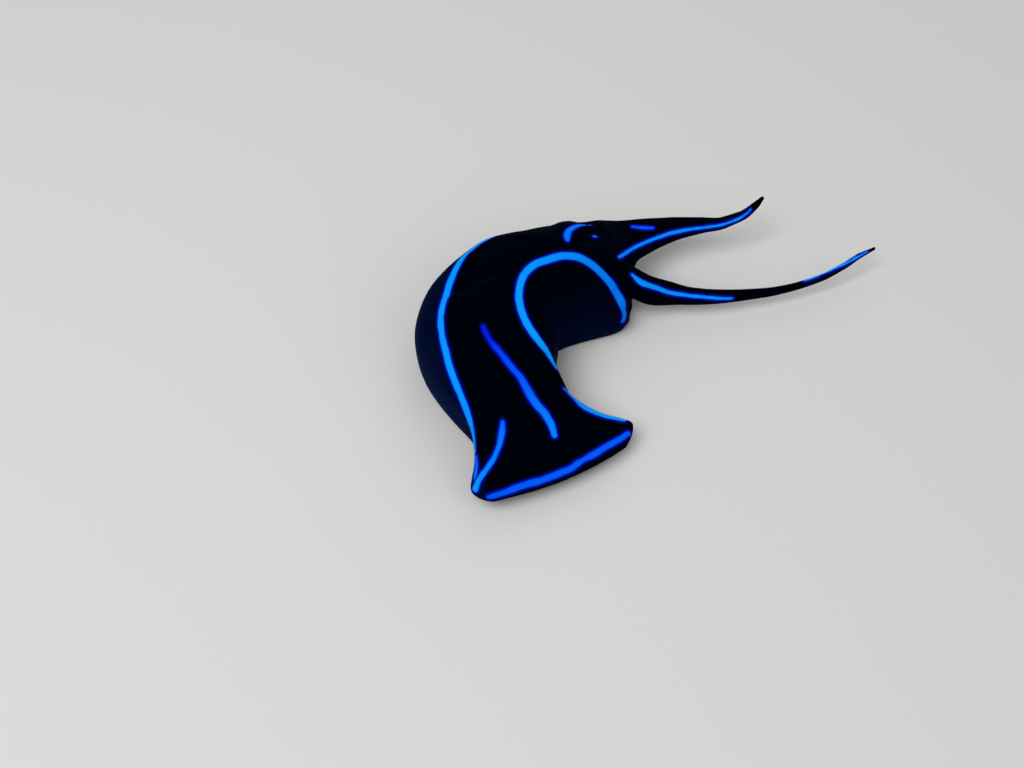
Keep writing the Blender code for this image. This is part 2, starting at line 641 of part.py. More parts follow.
def main():
    for obj in list(bpy.data.objects):
        bpy.data.objects.remove(obj)
    skin = velvet("velvet_black", (0.004, 0.005, 0.014), 0.85)
    sole = velvet("sole_black", (0.012, 0.014, 0.028), 0.7)
    for name, obj in make_nodes().items():
        obj.data.materials.clear()
        obj.data.materials.append(sole if name.startswith("foot") else skin)
        obj.data.transform(((METRES, 0, 0, 0), (0, METRES, 0, 0), (0, 0, METRES, 0), (0, 0, 0, 1)))
        obj.data.shade_smooth()
        obj.data.set_sharp_from_angle(angle=math.radians(40))
    for obj in [o for o in bpy.data.objects if o.hide_render]:
        bpy.data.objects.remove(obj)


main()
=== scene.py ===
"""A blue velvet headshield slug, dressed: one skin of black velvet with its electric-blue lines.

A place on the body is given as in the part's source: s is the distance back along the midline
from the head, v the distance to the animal's left and z the height, all in millimetres.
"""

import math

import bmesh
import bpy
import numpy as np
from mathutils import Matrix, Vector
from mathutils.bvhtree import BVHTree
from mathutils.kdtree import KDTree


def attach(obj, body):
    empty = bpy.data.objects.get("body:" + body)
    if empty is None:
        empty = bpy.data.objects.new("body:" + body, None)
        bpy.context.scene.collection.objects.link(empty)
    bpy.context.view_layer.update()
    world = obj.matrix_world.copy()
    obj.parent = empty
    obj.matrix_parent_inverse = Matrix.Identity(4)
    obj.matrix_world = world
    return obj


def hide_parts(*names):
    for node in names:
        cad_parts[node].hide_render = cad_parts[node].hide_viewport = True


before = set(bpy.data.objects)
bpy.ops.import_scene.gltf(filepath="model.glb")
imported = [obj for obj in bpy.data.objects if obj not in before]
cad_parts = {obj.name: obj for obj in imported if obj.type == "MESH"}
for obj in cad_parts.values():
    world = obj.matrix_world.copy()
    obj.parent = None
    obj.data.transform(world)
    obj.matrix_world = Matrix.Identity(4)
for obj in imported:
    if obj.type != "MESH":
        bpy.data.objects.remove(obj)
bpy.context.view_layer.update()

METRES = 0.001
RIGHT, LEFT = -1, 1

# The skin: the size of its squares before smoothing, the rounds of smoothing, how far the points go in
# and back out in one round, and the share of the faces that stays
SKIN_VOXEL = 0.13
SMOOTHING_ROUNDS = 16
SMOOTHING_PULLS = (0.5, -0.53)
SKIN_SHARE = 0.68
# Where the tails flow out of the posterior shield, as (place on the body, reach), and the rounds more there
BLENDS = ((32.8, -2.0, 5.6, 3.4), (33.0, 3.0, 4.8, 2.8), (32.2, -4.1, 5.6, 2.6), (32.2, 4.6, 3.4, 1.8))
BLEND_ROUNDS = 60


class Profile:
    """A smooth curve through (place, size) points that never overshoots them."""

    def __init__(self, *points):
        self.x, self.y = np.array(points, float).T
        step = np.diff(self.x)
        slope = np.diff(self.y) / step
        self.tangent = np.zeros(len(self.x))
        for i in range(1, len(self.x) - 1):
            if slope[i - 1] * slope[i] > 0:
                a = 2 * step[i] + step[i - 1]
                b = step[i] + 2 * step[i - 1]
                self.tangent[i] = (a + b) / (a / slope[i - 1] + b / slope[i])
        self.tangent[0], self.tangent[-1] = slope[0], slope[-1]

    def __call__(self, at):
        at = np.clip(at, self.x[0], self.x[-1])
        i = np.clip(np.searchsorted(self.x, at) - 1, 0, len(self.x) - 2)
        step = self.x[i + 1] - self.x[i]
        u = (at - self.x[i]) / step
        return (
            self.y[i] * (1 + 2 * u) * (1 - u) ** 2
            + self.tangent[i] * step * u * (1 - u) ** 2
            + self.y[i + 1] * u * u * (3 - 2 * u)
            - self.tangent[i + 1] * step * u * u * (1 - u)
        )


# The midline, as in the part's source, and the lengths along it that are worked out
HEAD_PLACE = (-10.2, -14.2)
HEAD_HEADING = 119.0
BODY_TURN = -101.0
TURN_START = 7.5
TURN_END = 28.5
RUMP_TURN = 4.0
RUMP_START = 30.0
RUMP_LENGTH = 6.0
BODY_LENGTH = 34.4
MIDLINE_SPAN = (-3.0, 62.0)
MIDLINE_STEP = 0.05

# Heights of the back
HEADSHIELD_HEIGHT = Profile((-1.2, 2.3), (0, 3.0), (2, 4.1), (5, 5.4), (9, 7.0), (13, 8.2), (17, 8.9),
                            (20, 9.1))
POSTERIOR_HEIGHT = Profile((16, 7.2), (19, 7.8), (23, 8.0), (26, 7.9), (29, 7.3), (32, 6.3),
                           (BODY_LENGTH, 5.2))

# Half-widths of the flanks at their fullest, how high up that is, and the share of the margin's height
# that it is at most
WIDTH = {
    RIGHT: Profile((1.2, 7.0), (2.2, 7.75), (3.1, 7.2), (4, 6.45), (5, 5.85), (7, 5.15), (10, 5.75),
                   (12, 6.45), (14, 7.3), (16, 7.8), (18, 7.75), (20, 7.25), (22, 6.65), (24, 6.2),
                   (27, 5.95), (29, 5.7), (31.5, 5.45), (32.5, 5.3), (33.2, 4.9)),
    LEFT: Profile((1.2, 6.4), (2.2, 6.8), (3.2, 6.1), (4.3, 5.4), (5.5, 5.0), (8, 4.95), (11, 6.0),
                  (14, 6.55), (17, 6.45), (20, 6.3), (26, 6.5), (30, 6.55), (31.3, 6.35), (32.2, 5.6),
                  (33, 4.9)),
}
FULLEST_HEIGHT = Profile((1, 0.9), (5, 1.8), (12, 2.7), (20, 3.0), (28, 2.8), (33, 1.8))
FULLEST_LIMIT = 0.6
# A flank's outline is two curves that meet where it is fullest: how far their handles reach, as shares of
# a curve's height, at the sole, below and above the fullest place and under the margin
SOLE_HANDLE = 0.1
LOWER_HANDLE = 0.5
UPPER_HANDLE = 0.55
MARGIN_HANDLE = 0.44
# How far inside the fullest place the sole's handle stands
SOLE_HANDLE_INSET = 0.2
# The steps of each curve, and the even points of the whole outline
FLANK_STEPS = 80
FLANK_POINTS = 200

# The foot, and how far its rounded edge stands out
FOOT_INSET = 0.7
FOOT_THICKNESS = 1.0
FOOT_START = 1.0
FOOT_END = 33.6
FOOT_RINGS = 150
FOOT_EDGE = 0.45
FOOT_EDGE_STEPS = 15
# Its least width behind, and its width and thickness at the very front, as shares of the whole
FOOT_REAR_WIDTH = 0.12
FOOT_FRONT_WIDTH = 0.8
FOOT_FRONT_THICKNESS = 0.5
# The length over which the foot and the trunk round off in front
FRONT_ROUNDING = 1.8

# The free margins of the parapodia
MARGIN = {
    RIGHT: Profile((1.2, 6.4), (2.3, 7.0), (3.2, 6.5), (4.2, 5.95), (5.3, 5.4), (7, 4.85), (9, 4.6),
                   (11, 4.45), (13, 4.35), (15.5, 4.6), (18.3, 4.8), (20, 5.3), (22, 5.5), (24, 4.1),
                   (25.7, 2.1), (27.2, 0.7), (28.2, 1.6), (29.6, 2.6), (31, 3.2), (31.7, 3.6),
                   (32.4, 4.1), (32.9, 4.4), (33.2, 4.5)),
    LEFT: Profile((1.2, 6.0), (3, 5.6), (4.4, 4.9), (8.5, 4.3), (11, 3.75), (14.5, 2.8), (18, 1.85),
                  (21, 1.1), (24, 0.9), (26.5, 1.1), (28.4, 1.65), (29.8, 2.55), (30.9, 3.7),
                  (31.6, 4.55), (32.25, 5.2)),
}
MARGIN_HEIGHT = {
    RIGHT: Profile((1.2, 1.9), (2.3, 2.4), (3.2, 2.8), (5.5, 4.1), (9.4, 6.1), (13, 7.1), (17, 7.3),
                   (20, 6.9), (22, 6.8), (24, 7.3), (25.7, 7.9), (27.2, 8.3), (28.6, 8.0), (30.2, 7.2),
                   (31, 6.55), (31.7, 5.8), (32.4, 4.7), (32.9, 3.7), (33.2, 2.4)),
    LEFT: Profile((1.2, 1.9), (3, 2.6), (5.5, 4.0), (8.5, 5.7), (12, 7.3), (16, 8.6), (21, 9.4),
                  (25, 9.4), (27.5, 8.9), (29.3, 7.75), (30.5, 6.3), (31.2, 5.1), (31.8, 3.6),
                  (32.25, 1.8)),
}
MARGIN_LEAN = {
    RIGHT: Profile((1, 20), (5, 35), (9, 60), (14, 80), (18, 75), (21, 60), (24, 65), (28, 80),
                   (30.5, 50), (32, 25), (33.5, 10)),
    LEFT: Profile((1, 20), (5, 35), (9, 60), (14, 85), (20, 90), (28, 80), (30.5, 50), (32, 25),
                  (33.5, 10)),
}
PARAPODIUM_START = 1.2
PARAPODIUM_END = {RIGHT: 33.2, LEFT: 32.25}
PARAPODIUM_BASE = 0.35
PARAPODIUM_THICKNESS = 1.35
MARGIN_THICKNESS = 0.85
PARAPODIUM_POINTS = 64
PARAPODIUM_RINGS = 110
# Where a flap is low it is thinner: its share of the thickness at a height, and how fast that grows
LOW_FLAP_HEIGHT = 1.25
LOW_FLAP_SHARE = 0.5
LOW_FLAP_GROWTH = 0.3
# Its rear end's length, and how the rings there stand closer and closer
FLAP_END_LENGTH = 3
FLAP_END_RINGS = 30
FLAP_END_SHARES = (0.97, 0.02)
FLAP_END_POWER = 1.5
# The angles of the points round its margin, from outside to inside
MARGIN_ANGLES = (15, 180, 15)

# The headshield, with its half-widths as shares of its length from the front
HEADSHIELD_FRONT = -1.35
HEADSHIELD_SWEEP = 1.0
SWEEP_MIDDLE = 2.3
SWEEP_REACH = 8.3
HEADSHIELD_END = 19.6
HEADSHIELD_WIDTH = {
    RIGHT: Profile((0, 6.7), (0.035, 7.75), (0.07, 8.15), (0.12, 7.4), (0.17, 6.3), (0.24, 5.2),
                   (0.33, 4.45), (0.42, 4.15), (0.55, 4.3), (0.7, 4.5), (0.82, 4.2), (0.92, 3.1),
                   (0.975, 1.8), (1, 0.5)),
    LEFT: Profile((0, 7.4), (0.035, 8.6), (0.07, 9.1), (0.12, 8.2), (0.17, 6.9), (0.24, 5.6),
                  (0.33, 4.6), (0.42, 4.2), (0.55, 4.3), (0.7, 4.5), (0.82, 4.2), (0.92, 3.1),
                  (0.975, 1.8), (1, 0.5)),
}
HEADSHIELD_DROOP = Profile((-1.7, 0.1), (1, 0.8), (3, 0.7), (6, 0.6), (10, 1.0), (15, 1.7), (20, 1.2))
HEADSHIELD_THICKNESS = 1.3
HEADSHIELD_EDGE = 1.0
HEADSHIELD_RINGS = 110
# The share of its thickness at its very ends, and the points across each shield
HEADSHIELD_LEAST = 0.1
PLATE_POINTS = 81

# The snout under the headshield: two lip pads either side of an upright mouth
LIP_PLACE = (0.75, 1.3, 1.15)
LIP_SIZE = (1.35, 1.45, 0.95)
LIP_STEPS = 24
LIP_SPAN = (0.04, 0.96)

# The posterior shield
POSTERIOR_START = 16.8
POSTERIOR_END = 33.3
POSTERIOR_FALL = 31.8
POSTERIOR_WIDTH = {
    RIGHT: Profile((16.8, 1.8), (17.6, 3.9), (19, 5.3), (23, 5.3), (27, 4.9), (30, 4.9), (31.5, 4.7),
                   (32.6, 3.8), (33.3, 2.2)),
    LEFT: Profile((16.8, 1.6), (17.6, 3.3), (19, 4.2), (23, 4.4), (27, 4.6), (29, 4.3), (30.3, 3.8),
                  (31.5, 3.6), (32.6, 3.1), (33.3, 2.0)),
}
POSTERIOR_DROOP = Profile((16.8, 0.9), (22, 1.4), (28, 1.4), (33.3, 0.6))
POSTERIOR_THICKNESS = Profile((16.8, 1.3), (28, 1.6), (31, 2.0), (33.3, 1.6))
POSTERIOR_EDGE = 1.1
POSTERIOR_RINGS = 70
# Under the headshield it begins at a share of its thickness and a little lower, and grows over a length
POSTERIOR_LEAST = 0.4
POSTERIOR_SINK = 0.4
POSTERIOR_GROWTH = 1.5
# How far it drops from POSTERIOR_FALL to its end
POSTERIOR_DROP = 0.9

# How the trunk and the foot round off behind
END_ROUNDING = 3.5
END_POWER = 4

# The trunk, inside the flaps and under the shields
TRUNK_START = 0.9
TRUNK_END = 33.5
TRUNK_BOTTOM = 0.4
TRUNK_RINGS = 130
TRUNK_STEPS = 80
# How far inside the flanks it stays, and where that changes, as (start, length)
TRUNK_WALL = 1.1
TRUNK_END_WALL = 0.5
TRUNK_THINNING = (29, 3)
# How deep into a shield's thickness it reaches, and where it passes from one to the other
TRUNK_COVER = 0.6
TRUNK_CHANGE = (16.5, 2.0)
# Its share of the full size in front, and of its width and height at its ends
TRUNK_FRONT = 0.55
TRUNK_END_WIDTH = 0.5
TRUNK_END_HEIGHT = 0.8
# How square its outline is, to the sides and to the back
TRUNK_SIDE_POWER = 0.75
TRUNK_BACK_POWER = 0.8

# The tails' rings, and how far before the tip the last one stands
TAIL_RINGS = 130
TAIL_STEPS = 40
TAIL_TIP = 0.21
# The distance over which a tail's direction is taken, and where its blade turns from the body's direction
# to its own, as (start, length)
TAIL_GAP = 0.2
TAIL_BEND = (2, 5)
# The tails, with everything as a size at a distance behind the fork
TAILS = {
    RIGHT: {
        "ends": (-3.4, 16.2),
        "aside": Profile((-3.4, -1.4), (-2, -1.45), (-0.65, -1.55), (0.4, -2.03), (1.2, -2.2),
                         (2.3, -2.27), (5.3, -1.92), (8.5, -1.08), (10.8, -0.43), (12.8, -0.4),
                         (14.8, -0.95), (16.2, -1.6)),
        "height": Profile((-3.4, 5.4), (-2, 5.0), (-0.65, 4.4), (0.8, 3.9), (2.3, 3.7), (5.3, 3.8),
                          (8.5, 4.0), (10.8, 4.1), (12.8, 4.3), (14.8, 4.6), (16.2, 4.9)),
        "width": Profile((-3.4, 3.3), (-0.65, 3.4), (0.4, 2.88), (1.2, 2.6), (2.3, 2.28),
                         (4.75, 1.62), (7.95, 1.02), (10.4, 0.7), (12.8, 0.55), (14.9, 0.38),
                         (16.2, 0.14)),
        "depth": Profile((-3.4, 1.0), (-1.5, 1.15), (-0.3, 0.95), (1.5, 0.8), (4.75, 0.7), (7.95, 0.55),
                         (10.4, 0.46), (12.8, 0.4), (14.9, 0.3), (16.2, 0.14)),
        "twist": Profile((-3.4, 0), (0, 0), (5, 8), (10, 15), (16.2, 15)),
    },
    LEFT: {
        "ends": (-3.4, 24.9),
        "aside": Profile((-3.4, 2.2), (-2.2, 2.6), (-0.7, 3.55), (-0.1, 3.9), (0.9, 4.36), (2.3, 4.9),
                         (4.1, 5.9), (6.9, 6.95), (10, 7.68), (13, 8.2), (15.2, 8.42), (17.7, 8.48),
                         (20.8, 8.15), (23, 7.72), (24.9, 7.65)),
        "height": Profile((-3.4, 5.1), (-2.2, 4.6), (-0.7, 3.7), (0.9, 2.9), (2.3, 2.55), (4.1, 2.35),
                          (6.9, 2.15), (10, 1.9), (13, 1.7), (15.2, 1.7), (17.7, 1.8), (20.8, 2.1),
                          (23, 2.4), (24.9, 2.8)),
        "width": Profile((-3.4, 1.9), (-2.2, 2.1), (-0.7, 2.0), (-0.1, 1.87), (0.9, 1.58), (2.3, 1.32),
                         (4.1, 0.95), (6.9, 0.74), (10.6, 0.56), (14.8, 0.45), (19, 0.4), (22.6, 0.33),
                         (24.3, 0.2), (24.9, 0.14)),
        "depth": Profile((-3.4, 1.2), (-0.7, 1.1), (0.9, 0.9), (2.35, 0.75), (4.6, 0.6), (7.8, 0.46),
                         (10.6, 0.38), (14.8, 0.34), (19, 0.32), (22.6, 0.28), (24.3, 0.18), (24.9, 0.14)),
        "twist": Profile((-3.4, 10), (-0.7, 32), (2, 38), (7, 42), (15.5, 75), (24.9, 75)),
    },
}


def ease(x):
    """0 up to 0 and 1 from 1 on, with a smooth rise between."""
    x = np.clip(x, 0.0, 1.0)
    return x * x * (3 - 2 * x)


def eased(x, start, length):
    """The smooth rise from a start over a length."""
    return ease((x - start) / length)


def grown(least, share):
    """The share of a size between the least of it, at 0, and all of it, at 1."""
    return least + (1 - least) * share


def heading(s):
    """The direction from head to tail at s, as an angle on the ground."""
    turn = BODY_TURN * ease((s - TURN_START) / (TURN_END - TURN_START))
    return np.radians(HEAD_HEADING + turn + RUMP_TURN * ease((s - RUMP_START) / RUMP_LENGTH))


def midline():
    """Points of the midline, from the heading added up along it."""
    s = np.arange(*MIDLINE_SPAN, MIDLINE_STEP)
    angle = heading(s + MIDLINE_STEP / 2)
    xy = np.cumsum(np.stack([np.cos(angle), np.sin(angle)], 1) * MIDLINE_STEP, axis=0)
    xy = np.vstack([[0, 0], xy[:-1]])
    start = np.array([np.interp(0, s, xy[:, k]) for k in (0, 1)])
    return s, xy - start + np.array(HEAD_PLACE)


MIDLINE_S, MIDLINE_XY = midline()


def place(s, v, z):
    """The points in space of places on the body."""
    s, v, z = np.broadcast_arrays(np.asarray(s, float), v, z)
    x, y = (np.interp(s, MIDLINE_S, MIDLINE_XY[:, k]) for k in (0, 1))
    angle = heading(s)
    return np.stack([x + v * np.sin(angle), y - v * np.cos(angle), z], -1)


def bezier(points, u):
    """The points at shares u of a curve with two ends and two handles."""
    a, b, c, d = (np.array(p, float) for p in points)
    u = u[:, None]
    return a * (1 - u) ** 3 + 3 * b * u * (1 - u) ** 2 + 3 * c * u * u * (1 - u) + d * u**3


def even(line, count):
    """The line again, with its points evenly spaced."""
    far = np.concatenate([[0], np.cumsum(np.linalg.norm(np.diff(line, axis=0), axis=1))])
    at = np.linspace(0, far[-1], count)
    return np.stack([np.interp(at, far, line[:, k]) for k in range(line.shape[1])], -1)


def flank(s, side):
    """One flank's outline at s, as (distance from the midline, height), from the ground to the margin."""
    width, margin, top = WIDTH[side](s), MARGIN[side](s), MARGIN_HEIGHT[side](s)
    lean = math.radians(MARGIN_LEAN[side](s))
    fullest = min(FULLEST_HEIGHT(s), FULLEST_LIMIT * top)
    reach = MARGIN_HANDLE * math.hypot(width - margin, top - fullest)
    sole, belly = (width - FOOT_INSET, 0), (width, fullest)
    over_sole = (width - SOLE_HANDLE_INSET, SOLE_HANDLE * fullest)
    under_belly = (width, LOWER_HANDLE * fullest)
    over_belly = (width, fullest + UPPER_HANDLE * (top - fullest))
    under_margin = (margin + reach * math.sin(lean), top - reach * math.cos(lean))
    lower = (sole, over_sole, under_belly, belly)
    upper = (belly, over_belly, under_margin, (margin, top))
    u = np.linspace(0, 1, FLANK_STEPS)
    return np.vstack([bezier(lower, u)[:-1], bezier(upper, u)])


def parapodium_ring(s, side):
    """A closed ring round one parapodium at s: up its outside, round its margin and down its inside."""
    outline = even(flank(s, side), FLANK_POINTS)
    outline = even(outline[outline[:, 1] >= PARAPODIUM_BASE], PARAPODIUM_POINTS)
    along = np.gradient(outline, axis=0)
    along /= np.linalg.norm(along, axis=1)[:, None]
    out = np.stack([along[:, 1], -along[:, 0]], -1)
    share = np.linspace(0, 1, len(outline))
    low = min(1.0, LOW_FLAP_SHARE + LOW_FLAP_GROWTH * (outline[-1, 1] - LOW_FLAP_HEIGHT))
    thick = (PARAPODIUM_THICKNESS - share * (PARAPODIUM_THICKNESS - MARGIN_THICKNESS)) * low
    inner = outline - out * thick[:, None]
    middle, across = (outline[-1] + inner[-1]) / 2, (outline[-1] - inner[-1]) / 2
    angle = np.radians(np.arange(*MARGIN_ANGLES))[:, None]
    tip = middle + across * np.cos(angle) + along[-1] * np.linalg.norm(across) * np.sin(angle)
    ring = np.vstack([outline, tip, inner[::-1]])
    return place(s, side * ring[:, 0], ring[:, 1])


def parapodium(side):
    """Rings of one parapodium from the head to its rear end."""
    start, end = PARAPODIUM_START, PARAPODIUM_END[side]
    closer = end - FLAP_END_LENGTH * np.linspace(*FLAP_END_SHARES, FLAP_END_RINGS) ** FLAP_END_POWER
    stations = np.concatenate([np.linspace(start, end - FLAP_END_LENGTH, PARAPODIUM_RINGS), closer])
    return [parapodium_ring(s, side) for s in stations]


def rounded(depth, radius):
    """A rim's share of its full thickness at a depth in from its edge."""
    return np.sqrt(1 - (1 - np.clip(depth / radius, 0, 1)) ** 2)


def plate_ring(s_of, halves, crown_of, thickness, edge):
    """A closed ring round a plate: over its top from right to left, and back underneath."""
    w = np.sin(np.pi / 2 * np.linspace(-1, 1, PLATE_POINTS))
    half = np.where(w > 0, halves[LEFT], halves[RIGHT])
    v = w * half
    s = s_of(v)
    full = edge + (thickness - edge) * (1 - w * w)
    depth = full * rounded((1 - abs(w)) * half, edge / 2)
    crown = crown_of(s, w) - (full - depth) / 2
    return np.vstack([place(s, v, crown), place(s, v, crown - depth)[-2:0:-1]])


def headshield():
    """Rings from the headshield's front edge to its rounded end, each following the front edge's sweep."""
    length = HEADSHIELD_END - HEADSHIELD_FRONT
    rings = []
    for share in 0.5 - 0.5 * np.cos(np.pi * np.linspace(0, 1, HEADSHIELD_RINGS)):
        halves = {side: HEADSHIELD_WIDTH[side](share) for side in (RIGHT, LEFT)}
        blunt = grown(HEADSHIELD_LEAST, float(rounded(min(share, 1 - share) * length, HEADSHIELD_EDGE / 2)))
        start = HEADSHIELD_FRONT + share * length

        def s_of(v):
            return start + HEADSHIELD_SWEEP * ((v - SWEEP_MIDDLE) / SWEEP_REACH) ** 2 * (1 - share) ** 3

        def crown_of(s, w):
            return HEADSHIELD_HEIGHT(s) - (1 - blunt) * HEADSHIELD_EDGE / 2 - HEADSHIELD_DROOP(s) * w * w

        thickness, edge = HEADSHIELD_THICKNESS * blunt, HEADSHIELD_EDGE * blunt
        rings.append(plate_ring(s_of, halves, crown_of, thickness, edge))
    return rings


def posterior_shield():
    """Rings from the posterior shield's start, under the headshield, to its end between the tails."""
    rings = []
    for s in np.linspace(POSTERIOR_START, POSTERIOR_END, POSTERIOR_RINGS):
        halves = {side: POSTERIOR_WIDTH[side](s) for side in (RIGHT, LEFT)}
        blunt = grown(POSTERIOR_LEAST, ease((s - POSTERIOR_START) / POSTERIOR_GROWTH))
        fall = ease((s - POSTERIOR_FALL) / (POSTERIOR_END - POSTERIOR_FALL)) ** 2
        low = (1 - blunt) * POSTERIOR_SINK + POSTERIOR_DROP * fall

        def s_of(v):
            return np.full(len(v), s)

        def crown_of(at, w):
            return POSTERIOR_HEIGHT(at) - low - POSTERIOR_DROOP(at) * w * w

        thickness, edge = POSTERIOR_THICKNESS(s) * blunt, POSTERIOR_EDGE * blunt
        rings.append(plate_ring(s_of, halves, crown_of, thickness, edge))
    return rings


def trunk_top(s):
    """Height of the trunk's back: inside the shield that covers it there."""
    head = HEADSHIELD_HEIGHT(s) - TRUNK_COVER * HEADSHIELD_THICKNESS
    rear = POSTERIOR_HEIGHT(s) - TRUNK_COVER * POSTERIOR_THICKNESS(s)
    return head + (rear - head) * eased(s, *TRUNK_CHANGE)


def blunt_end(s, end):
    """A body's share of its full width at s, where it rounds off to an end."""
    share = max(s - end + END_ROUNDING, 0) / END_ROUNDING
    return max(0.0, 1 - share**END_POWER) ** (1 / END_POWER)


def trunk():
    """Rings of the trunk, narrower and lower at both its ends."""
    rings = []
    for s in np.linspace(TRUNK_START, TRUNK_END, TRUNK_RINGS):
        end = blunt_end(s, TRUNK_END) * grown(TRUNK_FRONT, float(rounded(s - TRUNK_START, FRONT_ROUNDING)))
        wall = TRUNK_WALL + (TRUNK_END_WALL - TRUNK_WALL) * eased(s, *TRUNK_THINNING)
        right, left = ((WIDTH[side](s) - wall) * grown(TRUNK_END_WIDTH, end) for side in (RIGHT, LEFT))
        low = TRUNK_BOTTOM
        top = low + (trunk_top(s) - low) * grown(TRUNK_END_HEIGHT, end)
        a = np.linspace(0, 2 * np.pi, TRUNK_STEPS, endpoint=False)
        c, d = np.cos(a), np.sin(a)
        v = np.where(c > 0, left, right) * np.sign(c) * abs(c) ** TRUNK_SIDE_POWER
        z = (low + top) / 2 + (top - low) / 2 * np.sign(d) * abs(d) ** TRUNK_BACK_POWER
        rings.append(place(s, v, z))
    return rings


def foot():
    """The sole, with its rounded front corners and end."""
    rings = []
    for s in np.linspace(FOOT_START, FOOT_END, FOOT_RINGS):
        front = float(rounded(s - FOOT_START, FRONT_ROUNDING))
        rear = max(blunt_end(s, FOOT_END), FOOT_REAR_WIDTH)
        thick = FOOT_THICKNESS * grown(FOOT_FRONT_THICKNESS, front)
        front_width = grown(FOOT_FRONT_WIDTH, front)
        right, left = ((WIDTH[side](s) - FOOT_INSET) * front_width * rear for side in (RIGHT, LEFT))
        a = np.radians(np.linspace(-90, 90, FOOT_EDGE_STEPS))
        edge = np.stack([FOOT_EDGE * np.cos(a), thick / 2 + thick / 2 * np.sin(a)], -1)
        v = np.concatenate([left + edge[:, 0], (-right - edge[:, 0])[::-1]])
        z = np.concatenate([edge[:, 1], edge[::-1, 1]])
        rings.append(place(s, v, z))
    return rings


def lip(side):
    """Rings of the egg-shaped lip pad on one side of the mouth."""
    (s, v, z), (long, wide, high) = LIP_PLACE, LIP_SIZE
    turn = np.linspace(0, 2 * np.pi, LIP_STEPS, endpoint=False)
    rings = []
    for a in np.linspace(*LIP_SPAN, LIP_STEPS) * np.pi:
        across = side * v + wide * math.sin(a) * np.cos(turn)
        rings.append(place(s - long * math.cos(a), across, z + high * math.sin(a) * np.sin(turn)))
    return rings


def tail_middle(side, x):
    """The point on a tail's middle at a distance behind the fork."""
    return place(BODY_LENGTH + x, TAILS[side]["aside"](x), TAILS[side]["height"](x))


def tail_axes(side, x):
    """The directions across a tail's blade and through it, turned about its length by the twist."""
    forward = tail_middle(side, x + TAIL_GAP) - tail_middle(side, x - TAIL_GAP)
    forward /= np.linalg.norm(forward)
    back = place(BODY_LENGTH + x + TAIL_GAP, 0, 0) - place(BODY_LENGTH + x - TAIL_GAP, 0, 0)
    forward += (1 - eased(x, *TAIL_BEND)) * (back / np.linalg.norm(back) - forward)
    forward /= np.linalg.norm(forward)
    sideways = np.cross(forward, (0, 0, 1))
    sideways /= np.linalg.norm(sideways)
    up = np.cross(sideways, forward)
    turned = math.radians(TAILS[side]["twist"](x))
    c, d = math.cos(turned), math.sin(turned)
    return sideways * c - up * d, up * c + sideways * d


def tail(side):
    """Rings of one tail, from its root inside the posterior shield to just short of its tip."""
    turn = np.linspace(0, 2 * np.pi, TAIL_STEPS, endpoint=False)[:, None]
    first, last = TAILS[side]["ends"]
    rings = []
    for x in np.linspace(first, last - TAIL_TIP, TAIL_RINGS):
        wide, deep = tail_axes(side, x)
        across = wide * TAILS[side]["width"](x) * np.cos(turn)
        rings.append(tail_middle(side, x) + across + deep * TAILS[side]["depth"](x) * np.sin(turn))
    return rings


def new_object(name, data):
    obj = bpy.data.objects.new(name, data)
    bpy.context.scene.collection.objects.link(obj)
    return obj


def lofts_mesh(lofts):
    """One mesh that holds a closed surface through each list of rings."""
    points, faces = [], []
    for rings in lofts:
        base, count = sum(len(p) for p in points), len(rings[0])
        points.append(np.vstack([*rings, rings[0].mean(0)[None], rings[-1].mean(0)[None]]))
        first, last = base + len(rings) * count, base + len(rings) * count + 1
        for j in range(count):
            k = (j + 1) % count
            faces.append((base + k, base + j, first))
            tip = base + (len(rings) - 1) * count
            faces.append((tip + j, tip + k, last))
            for i in range(len(rings) - 1):
                a, b = base + i * count + j, base + i * count + k
                faces.append((a, b, b + count, a + count))
    mesh = bpy.data.meshes.new("lofts")
    mesh.from_pydata(np.vstack(points).tolist(), [], faces)
    return mesh


def largest_surface(mesh):
    """Leaves only the mesh's largest closed surface."""
    shape = bmesh.new()
    shape.from_mesh(mesh)
    seen, islands = set(), []
    for start in shape.verts:
        if start in seen:
            continue
        seen.add(start)
        island, todo = [start], [start]
        while todo:
            for edge in todo.pop().link_edges:
                for vert in edge.verts:
                    if vert not in seen:
                        seen.add(vert)
                        island.append(vert)
                        todo.append(vert)
        islands.append(island)
    islands.sort(key=len)
    for island in islands[:-1]:
        bmesh.ops.delete(shape, geom=island, context="VERTS")
    shape.to_mesh(mesh)
    shape.free()


def coordinates(mesh):
    """The mesh's points as an array."""
    co = np.empty(len(mesh.vertices) * 3)
    mesh.vertices.foreach_get("co", co)
    return co.reshape(-1, 3)


def smooth(mesh, co, rounds, amount=1.0):
    """Smooths the points, each by its amount, without shrinking what they enclose."""
    edges = np.empty(len(mesh.edges) * 2, int)
    mesh.edges.foreach_get("vertices", edges)
    a, b = edges.reshape(-1, 2).T
    count = np.bincount(a, minlength=len(co)) + np.bincount(b, minlength=len(co))
    for pull in SMOOTHING_PULLS * rounds:
        total = np.stack(
            [np.bincount(a, co[b, k], len(co)) + np.bincount(b, co[a, k], len(co)) for k in range(3)], -1
        )
        co = co + amount * pull * (total / count[:, None] - co)
    return co


def around(co, s, v, z, reach):
    """1 at a place on the body, easing to 0 at the reach from it."""
    return 1 - ease(np.linalg.norm(co - place(s, v, z), axis=1) / reach)


